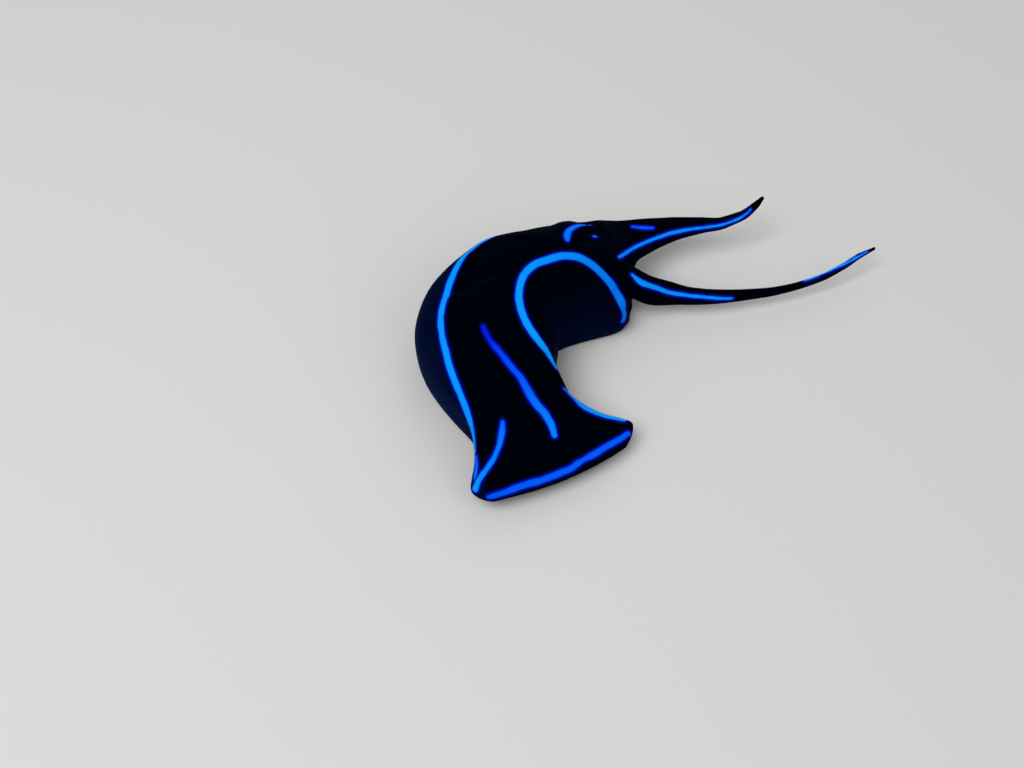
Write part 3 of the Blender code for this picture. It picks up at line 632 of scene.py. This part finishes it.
def make_skin():
    """The whole animal's skin as one closed surface, in millimetres."""
    flesh = [headshield(), posterior_shield(), trunk(), foot(), lip(RIGHT), lip(LEFT)]
    flesh += [make(side) for side in (RIGHT, LEFT) for make in (parapodium, tail)]
    rough = new_object("rough", lofts_mesh(flesh))
    remesh = rough.modifiers.new("skin", "REMESH")
    remesh.mode = "VOXEL"
    remesh.voxel_size = SKIN_VOXEL
    graph = bpy.context.evaluated_depsgraph_get()
    mesh = bpy.data.meshes.new_from_object(rough.evaluated_get(graph))
    bpy.data.objects.remove(rough)
    largest_surface(mesh)
    co = smooth(mesh, coordinates(mesh), SMOOTHING_ROUNDS)
    for where in BLENDS:
        co = smooth(mesh, co, BLEND_ROUNDS, around(co, *where)[:, None])
    co[:, 2] = np.maximum(co[:, 2], 0)
    mesh.vertices.foreach_set("co", co.ravel())
    mesh.update()
    fine = new_object("fine", mesh)
    fewer = fine.modifiers.new("fewer", "DECIMATE")
    fewer.ratio = SKIN_SHARE
    graph = bpy.context.evaluated_depsgraph_get()
    mesh = bpy.data.meshes.new_from_object(fine.evaluated_get(graph))
    bpy.data.objects.remove(fine)
    return mesh


# The blue lines are followed in steps of this length, and mark the skin up to this distance from them
LINE_STEP = 0.05
MARK_REACH = 1.5
# The distance from a line's edge that stands for none near
FAR_OFF = 9.0
# The half-width of a line's light core: a share of the line's half-width, and this more
CORE_SHARE = 0.7
CORE_MORE = 0.06
# The points of each line before it is laid on the skin
BODY_LINE_POINTS = 100


def body_line(*places):
    """A smooth line through places on the body."""
    places = np.array(places, float)
    far = np.concatenate([[0], np.cumsum(np.linalg.norm(np.diff(places, axis=0), axis=1))])
    at = np.linspace(0, far[-1], BODY_LINE_POINTS)
    s, v, z = (Profile(*zip(far, places[:, k]))(at) for k in range(3))
    return place(s, v, z)


def blue_lines():
    """Each line's points, its half-width along the share of its length, and the tone at its two ends.

    The tones run from deep blue (0) to azure (1).
    """
    return [
        # Along the headshield's front edge
        (body_line((0.15, -6.95, 2.3), (-0.25, -5.4, 2.5), (-0.45, -3.5, 2.6), (-0.8, -1.9, 2.55),
                   (-0.9, -0.3, 2.5), (-0.95, 1.1, 2.45), (-0.72, 2.5, 2.5), (-0.65, 4.0, 2.5),
                   (-0.45, 5.5, 2.45), (-0.25, 7.1, 2.25), (0.0, 8.05, 2.05)),
         Profile((0, 0.26), (0.06, 0.33), (0.2, 0.4), (0.6, 0.36), (0.645, 0.25), (0.7, 0.36),
                 (0.95, 0.3), (1, 0.26)),
         (0.32, 0.37)),
        # Down the middle of the headshield
        (body_line((13.65, -0.9, 8.3), (12.1, -0.5, 8.0), (10.8, 0.0, 7.6), (9.15, 0.45, 7.0),
                   (7.75, 0.78, 6.5), (6.55, 0.82, 6.0), (5.2, 0.98, 5.5), (4.1, 1.3, 5.0),
                   (3.1, 1.36, 4.6), (2.15, 1.18, 4.1)),
         Profile((0, 0.16), (0.12, 0.19), (0.23, 0.32), (0.4, 0.36), (0.55, 0.44), (0.68, 0.5),
                 (0.85, 0.47), (1, 0.33)),
         (-0.1, 0.65)),
        # In from the headshield's two front corners
        (body_line((1.2, -7.8, 2.9), (1.75, -7.1, 3.2), (2.3, -5.95, 3.5), (2.75, -5.05, 3.8),
                   (3.35, -4.2, 4.2), (4.05, -3.5, 4.5), (5.2, -2.7, 5.1)),
         Profile((0, 0.36), (0.15, 0.3), (0.6, 0.27), (0.85, 0.34), (1, 0.22)), (0.75, 0.45)),
        (body_line((1.15, 8.4, 2.8), (1.8, 7.2, 3.3), (2.55, 6.2, 3.6), (3.6, 5.2, 4.1),
                   (4.75, 4.65, 4.5), (5.8, 4.2, 5.0)),
         Profile((0, 0.28), (0.3, 0.3), (0.5, 0.38), (0.8, 0.32), (1, 0.12)), (0.9, 0.6)),
        # Along the right parapodium's margin
        (body_line((1.9, -7.28, 2.2), (2.6, -7.08, 2.3), (3.2, -6.6, 2.55), (4.1, -5.93, 2.9)),
         Profile((0, 0.28), (0.6, 0.34), (1, 0.3)), (0.5, 0.4)),
        (body_line((4.7, -5.8, 3.1), (5.3, -5.65, 3.4), (6.3, -5.4, 4.0), (7.75, -5.15, 5.05),
                   (9.05, -5.0, 5.8), (10.4, -4.9, 6.3), (12.85, -4.8, 7.0), (15.55, -4.95, 7.2),
                   (16.75, -4.85, 7.2), (18.4, -5.2, 7.0), (19.75, -5.72, 6.7), (20.8, -6.07, 6.45),
                   (21.6, -6.08, 6.45), (22.8, -5.85, 6.55)),
         Profile((0, 0.2), (0.05, 0.4), (0.12, 0.4), (0.25, 0.42), (0.5, 0.37), (0.8, 0.46),
                 (0.88, 0.44), (0.95, 0.38), (1, 0.15)),
         (0.72, 0.82)),
        (body_line((27.6, -0.85, 8.2), (27.95, -1.8, 8.1), (28.9, -2.55, 7.8), (30.15, -3.2, 7.1),
                   (31.2, -3.75, 6.3)),
         Profile((0, 0.34), (0.1, 0.42), (0.25, 0.42), (0.5, 0.34), (0.8, 0.24), (1, 0.08)), (0.5, 0.7)),
        # Along the left parapodium's margin
        (body_line((8.2, 4.95, 5.15), (9.7, 4.7, 5.95), (11.45, 4.12, 7.0), (13.6, 3.4, 7.9),
                   (15.4, 2.9, 8.45), (17.25, 2.44, 8.9), (18.95, 2.05, 9.2), (20.8, 1.66, 9.4),
                   (22.6, 1.48, 9.4), (24.15, 1.65, 9.35), (25.65, 1.72, 9.3), (27.05, 1.87, 8.95),
                   (28.25, 2.3, 8.3), (29.1, 2.8, 7.5), (29.95, 3.43, 6.5), (30.65, 4.15, 5.45),
                   (31.05, 4.95, 4.5), (31.35, 5.6, 3.5), (31.15, 6.2, 2.3)),
         Profile((0, 0.2), (0.05, 0.4), (0.12, 0.46), (0.25, 0.43), (0.4, 0.48), (0.5, 0.53),
                 (0.6, 0.54), (0.75, 0.66), (0.92, 0.66), (1, 0.3)),
         (0.9, 0.52)),
        # The dot and the dash on the right of the posterior shield
        (body_line((30.8, -1.65, 6.6), (30.98, -1.65, 6.6)), Profile((0, 0.18), (1, 0.18)), (0.6, 0.6)),
        (body_line((36.1, -3.2, 4.8), (37.0, -2.68, 4.7), (37.9, -2.25, 4.6)),
         Profile((0, 0.23), (0.5, 0.27), (1, 0.15)), (0.34, 0.34)),
        # Along the tails
        (body_line((32.55, 1.15, 6.0), (34.3, -0.15, 4.7), (36.0, -0.75, 4.5), (37.6, -1.0, 4.35),
                   (39.1, -1.05, 4.35), (40.5, -0.9, 4.35), (42.2, -0.56, 4.4), (43.85, -0.16, 4.4),
                   (45.25, 0.04, 4.45), (46.55, 0.05, 4.55), (47.7, -0.14, 4.75), (48.4, -0.48, 4.85)),
         Profile((0, 0.17), (0.1, 0.19), (0.5, 0.2), (0.65, 0.13), (0.85, 0.11), (1, 0.06)), (0.7, 0.8)),
        (body_line((33.05, 3.25, 5.2), (33.65, 3.95, 4.6), (34.9, 4.46, 3.7), (36.25, 5.2, 3.2),
                   (38.0, 6.1, 2.9), (39.85, 6.85, 2.6), (41.4, 7.38, 2.3), (42.4, 7.68, 2.2)),
         Profile((0, 0.18), (0.12, 0.38), (0.25, 0.3), (0.5, 0.2), (0.9, 0.17), (1, 0.08)), (0.75, 0.8)),
        (body_line((50.4, 8.35, 2.1), (51.25, 8.33, 2.1), (53.15, 8.22, 2.24), (55.45, 8.1, 2.5),
                   (57.45, 7.85, 2.65), (58.1, 7.8, 2.77)),
         Profile((0, 0.06), (0.12, 0.17), (0.5, 0.15), (0.9, 0.12), (1, 0.06)), (0.8, 0.8)),
    ]


def mark_lines(co, surface):
    """Each point of the skin's distance from the nearest blue line's edge, and that line's tone."""
    edge = np.full(len(co), FAR_OFF)
    tone = np.zeros(len(co))
    for line, half_width, tones in blue_lines():
        count = max(4, int(np.linalg.norm(np.diff(line, axis=0), axis=1).sum() / LINE_STEP))
        line = np.array([surface.find_nearest(Vector(p))[0] for p in even(line, count)])
        tree = KDTree(count)
        for i, p in enumerate(line):
            tree.insert(p, i)
        tree.balance()
        low, high = line.min(0) - MARK_REACH, line.max(0) + MARK_REACH
        for i in np.flatnonzero(np.all((co > low) & (co < high), axis=1)):
            _, k, far = tree.find(co[i])
            share = k / (count - 1)
            beyond = far - (CORE_SHARE * half_width(share) + CORE_MORE)
            if beyond < edge[i]:
                edge[i] = beyond
                tone[i] = tones[0] + share * (tones[1] - tones[0])
    return edge, tone


# Painted light: how much lit navy each flank gets at its margin and at the foot, the right flank facing the
# light
MARGIN_PAINTED_LIGHT = {RIGHT: 0.3, LEFT: 0.0}
FOOT_PAINTED_LIGHT = {RIGHT: 0.85, LEFT: 0.4}
# The painted light at the margin fades out up to this place, over this length
MARGIN_PAINTED_LIGHT_END = 23.0
MARGIN_PAINTED_LIGHT_FADE = 4.0
# All the painted light begins over this distance outside the margin, and ends over this length past the
# flap
FLANK_PAINTED_LIGHT_START = 0.8
FLANK_PAINTED_LIGHT_PAST = 1.5
FLANK_PAINTED_LIGHT_FADE = 2.0


def painted_flank_light(co):
    """How much painted light, as navy, each point of the skin gets: nothing on the back, and more and more
    down a flank.
    """
    tree = KDTree(len(MIDLINE_S))
    for i, (x, y) in enumerate(MIDLINE_XY):
        tree.insert((x, y, 0), i)
    tree.balance()
    near = np.array([tree.find((x, y, 0))[1] for x, y, _ in co])
    s = MIDLINE_S[near]
    angle = heading(s)
    offset = co[:, :2] - MIDLINE_XY[near]
    v = offset[:, 0] * np.sin(angle) - offset[:, 1] * np.cos(angle)
    blue = np.zeros(len(co))
    for side in (RIGHT, LEFT):
        outside = eased(v * side, MARGIN[side](s), FLANK_PAINTED_LIGHT_START)
        top = MARGIN_HEIGHT[side](s)
        edge = MARGIN_PAINTED_LIGHT[side] * ease((MARGIN_PAINTED_LIGHT_END - s) / MARGIN_PAINTED_LIGHT_FADE)
        down = edge + (FOOT_PAINTED_LIGHT[side] - edge) * ease((top - co[:, 2]) / top)
        here = outside * down * ease((PARAPODIUM_END[side] + FLANK_PAINTED_LIGHT_PAST - s) / FLANK_PAINTED_LIGHT_FADE)
        blue = np.where(v * side > 0, here, blue)
    return blue


# The sensory bristles beside the mouth: their rows' heights, and where each row stands, as the place
# along the body and the distances of its first and last bristle from the midline
BRISTLE_ROWS = (0.85, 1.25, 1.65)
BRISTLES_IN_ROW = 6
BRISTLE_PLACES = (0.6, 2.8, 4.8)
ROW_SHIFT = 0.33
# Their lengths from first to last, and their radii from root to tip
BRISTLE_LENGTHS = (1.1, 0.6)
BRISTLE_RADII = (0.05, 0.015)
BRISTLE_SIDES = 6
BRISTLE_RINGS = 5
# How they spread outward, from the first and growing along the row, and upward, in each row more
BRISTLE_SPREAD = (0.1, 0.6)
BRISTLE_RISE = (-0.1, 0.12)
# How far they sway, and the angle between one's sway and the next one's
BRISTLE_SWAY = 0.15
SWAY_ANGLE = 2.4


def bristle(root, direction, length):
    """Rings of one fine tapering bristle that begins inside the skin."""
    direction /= np.linalg.norm(direction)
    across = np.cross(direction, (0, 0, 1))
    across /= np.linalg.norm(across)
    over = np.cross(direction, across)
    a = np.linspace(0, 2 * np.pi, BRISTLE_SIDES, endpoint=False)[:, None]
    rim = across * np.cos(a) + over * np.sin(a)
    rings = []
    for share in np.linspace(0, 1, BRISTLE_RINGS):
        radius = BRISTLE_RADII[0] + share * (BRISTLE_RADII[1] - BRISTLE_RADII[0])
        rings.append(root + direction * (share * length - BRISTLE_RADII[0]) + rim * radius)
    return rings


def bristles(surface):
    """The two clusters of bristles, spread like a fan forward and to the side."""
    front, first, last = BRISTLE_PLACES
    forward = place(0, 0, 0) - place(1, 0, 0)
    outward = place(0, 1, 0) - place(0, 0, 0)
    lofts = []
    for side in (RIGHT, LEFT):
        for row, height in enumerate(BRISTLE_ROWS):
            for i in range(BRISTLES_IN_ROW):
                share = (i + ROW_SHIFT * row) / BRISTLES_IN_ROW
                at = place(front, side * (first + share * (last - first)), height)
                root = np.array(surface.find_nearest(Vector(at))[0])
                sway = BRISTLE_SWAY * math.sin(SWAY_ANGLE * (i + BRISTLES_IN_ROW * row))
                spread = BRISTLE_SPREAD[0] + BRISTLE_SPREAD[1] * share + sway
                direction = forward + side * outward * spread
                direction[2] = BRISTLE_RISE[0] + BRISTLE_RISE[1] * row
                length = BRISTLE_LENGTHS[0] + share * (BRISTLE_LENGTHS[1] - BRISTLE_LENGTHS[0])
                lofts.append(bristle(root, direction, length))
    return lofts_mesh(lofts)


def attribute(mesh, name, values):
    """Stores one number for each point of the mesh, for its material to read."""
    mesh.attributes.new(name, "FLOAT", "POINT").data.foreach_set("value", values)


class Shading:
    """Makes one material's nodes and links them."""

    def __init__(self, name):
        self.material = bpy.data.materials.new(name)
        self.material.use_nodes = True
        self.nodes = self.material.node_tree.nodes
        self.links = self.material.node_tree.links
        self.shader = self.nodes["Principled BSDF"]

    def add(self, kind, inputs=None, **settings):
        node = self.nodes.new(kind)
        for key, setting in settings.items():
            setattr(node, key, setting)
        for key, source in (inputs or {}).items():
            self.feed(node.inputs[key], source)
        return node

    def feed(self, socket, source):
        """A constant, a socket, or a node whose first output is meant."""
        if isinstance(source, bpy.types.Node):
            self.links.new(source.outputs[0], socket)
        elif isinstance(source, bpy.types.NodeSocket):
            self.links.new(source, socket)
        else:
            socket.default_value = source

    def maths(self, operation, *terms):
        return self.add("ShaderNodeMath", dict(enumerate(terms)), operation=operation)

    def between(self, source, low, high):
        """0 below low and 1 above high, easing between; the other way round where low is the higher."""
        inputs = {"Value": source, "From Min": low, "From Max": high}
        return self.add("ShaderNodeMapRange", inputs, interpolation_type="SMOOTHSTEP").outputs["Result"]

    def mix(self, factor, a, b):
        node = self.add("ShaderNodeMix", data_type="RGBA")
        self.feed(node.inputs["Factor"], factor)
        colours = [socket for socket in node.inputs if socket.type == "RGBA"]
        self.feed(colours[0], a)
        self.feed(colours[1], b)
        return [socket for socket in node.outputs if socket.type == "RGBA"][0]

    def noise(self, scale, detail):
        where = self.add("ShaderNodeTexCoord").outputs["Object"]
        inputs = {"Vector": where, "Scale": scale, "Detail": detail}
        return self.add("ShaderNodeTexNoise", inputs).outputs["Fac"]

    def value(self, name):
        return self.add("ShaderNodeAttribute", attribute_name=name).outputs["Fac"]

    def bump(self, height, strength, distance):
        inputs = {"Height": height, "Strength": strength, "Distance": distance}
        self.feed(self.shader.inputs["Normal"], self.add("ShaderNodeBump", inputs))


# The skin's colours, and those of the lines: their fringe, and their core from tone 0 to tone 1
BLACK = (0.0001, 0.0006, 0.003, 1)
# The navy is painted light, standing for the light that falls on the flanks
PAINTED_LIGHT_NAVY = (0.0004, 0.008, 0.056, 1)
FRINGE_BLUE = (0.0006, 0.004, 0.42, 1)
DEEP_BLUE = (0.001, 0.015, 0.85, 1)
MIDDLE_BLUE = (0.001, 0.11, 1.0, 1)
AZURE = (0.004, 0.37, 1.0, 1)
MIDDLE_TONE = 0.45
# The distances out from a line's edge over which its core, its fringe and the core's lighter middle come
CORE_RISE = (0.03, -0.08)
FRINGE_RISE = (0.28, 0.02)
LIGHTER_RISE = (-0.02, -0.3)
LIGHTER_TONE = 0.16
# How far a line's edge wavers, and how uneven the flanks' painted light is, as (how much it varies, its
# least)
EDGE_WAVER = 0.16
PAINTED_LIGHT_NAVY_MOTTLE = (0.8, 0.6)
# The size and detail of the noises that make the edges waver, the painted light uneven and the velvet rough
WAVER_NOISE = (900, 3)
MOTTLE_NOISE = (350, 4)
VELVET_NOISE = (2600, 3)


def velvet():
    """Black velvet skin with painted light as navy down the flanks, and the electric-blue lines."""
    paint = Shading("velvet")
    waver = paint.maths("MULTIPLY_ADD", paint.noise(*WAVER_NOISE), EDGE_WAVER, -EDGE_WAVER / 2)
    edge = paint.maths("ADD", paint.value("line_edge"), waver)
    core = paint.between(edge, *CORE_RISE)
    fringe = paint.between(edge, *FRINGE_RISE)

    lighter = paint.between(edge, *LIGHTER_RISE)
    tone = paint.maths("MULTIPLY_ADD", lighter, LIGHTER_TONE, paint.value("line_tone"))
    ramp = paint.add("ShaderNodeValToRGB", {"Fac": tone})
    stops = ramp.color_ramp.elements
    stops[0].color = DEEP_BLUE
    stops[1].color = AZURE
    stops.new(MIDDLE_TONE).color = MIDDLE_BLUE

    # The flanks' navy is painted light, strongest on the right flank
    mottle = paint.maths("MULTIPLY_ADD", paint.noise(*MOTTLE_NOISE), *PAINTED_LIGHT_NAVY_MOTTLE)
    painted_light_share = paint.maths("MULTIPLY", paint.value("painted_flank_light"), mottle)
    base = paint.mix(fringe, paint.mix(painted_light_share, BLACK, PAINTED_LIGHT_NAVY), FRINGE_BLUE)
    colour = paint.mix(core, base, ramp.outputs["Color"])
    paint.feed(paint.shader.inputs["Base Color"], colour)
    paint.shader.inputs["Roughness"].default_value = 0.6
    paint.shader.inputs["Specular IOR Level"].default_value = 0.004
    paint.shader.inputs["Specular Tint"].default_value = (0.3, 0.5, 1.0, 1)
    paint.shader.inputs["Sheen Weight"].default_value = 0.015
    paint.shader.inputs["Sheen Roughness"].default_value = 0.45
    paint.shader.inputs["Sheen Tint"].default_value = (0.03, 0.2, 1.0, 1)
    paint.bump(paint.noise(*VELVET_NOISE), strength=0.25, distance=0.00006)
    return paint.material


def pale_bristle():
    paint = Shading("bristle")
    paint.feed(paint.shader.inputs["Base Color"], (0.32, 0.36, 0.42, 1))
    paint.shader.inputs["Roughness"].default_value = 0.5
    return paint.material


# The floor, in metres: half its width, and how far it lies under the sole
FLOOR_HALF = 1.5
FLOOR_DROP = 0.00003


def plain_floor():
    paint = Shading("pale_floor")
    paint.feed(paint.shader.inputs["Base Color"], (0.72, 0.72, 0.7, 1))
    paint.shader.inputs["Roughness"].default_value = 0.9
    mesh = bpy.data.meshes.new("floor")
    corners = [(x * FLOOR_HALF, y * FLOOR_HALF, 0) for x, y in ((-1, -1), (1, -1), (1, 1), (-1, 1))]
    mesh.from_pydata(corners, [], [(0, 1, 2, 3)])
    mesh.materials.append(paint.material)
    floor = new_object("floor", mesh)
    floor.location.z = -FLOOR_DROP


def area_light(name, direction, distance, size, power):
    """A soft light that shines on the animal from a direction."""
    lamp = bpy.data.lights.new(name, "AREA")
    lamp.size = size
    lamp.energy = power
    obj = new_object(name, lamp)
    obj.location = Vector(direction).normalized() * distance
    obj.rotation_euler = Vector(direction).to_track_quat("Z", "Y").to_euler()


def studio():
    """Three soft lights and a pale surrounding light."""
    area_light("key", (-0.5, -0.35, 1.0), distance=0.32, size=0.22, power=0.6)
    area_light("fill", (0.8, -0.6, 0.7), distance=0.4, size=0.3, power=0.24)
    area_light("back", (0.2, 1.0, 0.6), distance=0.4, size=0.25, power=0.2)
    world = bpy.data.worlds.new("studio")
    world.use_nodes = True
    world.node_tree.nodes["Background"].inputs["Color"].default_value = (0.9, 0.92, 0.95, 1)
    world.node_tree.nodes["Background"].inputs["Strength"].default_value = 0.35
    bpy.context.scene.world = world
    bpy.context.scene.view_settings.view_transform = "Standard"


# The camera's view: it looks along +Y and down on a point of the floor
CAMERA_TARGET = (-0.0142, -0.003, 0.0)
CAMERA_ELEVATION = 55.0
CAMERA_DISTANCE = 0.1422
CAMERA_LENS = 50.0


def camera():
    data = bpy.data.cameras.new("camera")
    data.lens = CAMERA_LENS
    data.clip_start = 0.01
    data.clip_end = 10
    obj = new_object("camera", data)
    angle = math.radians(CAMERA_ELEVATION)
    back = Vector((0, -math.cos(angle), math.sin(angle)))
    obj.location = Vector(CAMERA_TARGET) + back * CAMERA_DISTANCE
    obj.rotation_euler = back.to_track_quat("Z", "Y").to_euler()
    bpy.context.scene.camera = obj


def dressed(name, mesh, material):
    """The piece made of a mesh in millimetres, in its place on the animal."""
    mesh.transform(((METRES, 0, 0, 0), (0, METRES, 0, 0), (0, 0, METRES, 0), (0, 0, 0, 1)))
    mesh.shade_smooth()
    mesh.materials.clear()
    mesh.materials.append(material)
    piece = new_object(name, mesh)
    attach(piece, "root")
    return piece


camera()
skin_mesh = make_skin()
skin_points = coordinates(skin_mesh)
skin_surface = BVHTree.FromPolygons(skin_points.tolist(), [tuple(p.vertices) for p in skin_mesh.polygons])
skin_edge, skin_tone = mark_lines(skin_points, skin_surface)
attribute(skin_mesh, "line_edge", skin_edge)
attribute(skin_mesh, "line_tone", skin_tone)
# The flanks' painted light, for the velvet material to read
attribute(skin_mesh, "painted_flank_light", painted_flank_light(skin_points))
dressed("sensory_bristles", bristles(skin_surface), pale_bristle())
skin = dressed("skin", skin_mesh, velvet())
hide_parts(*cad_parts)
plain_floor()
studio()
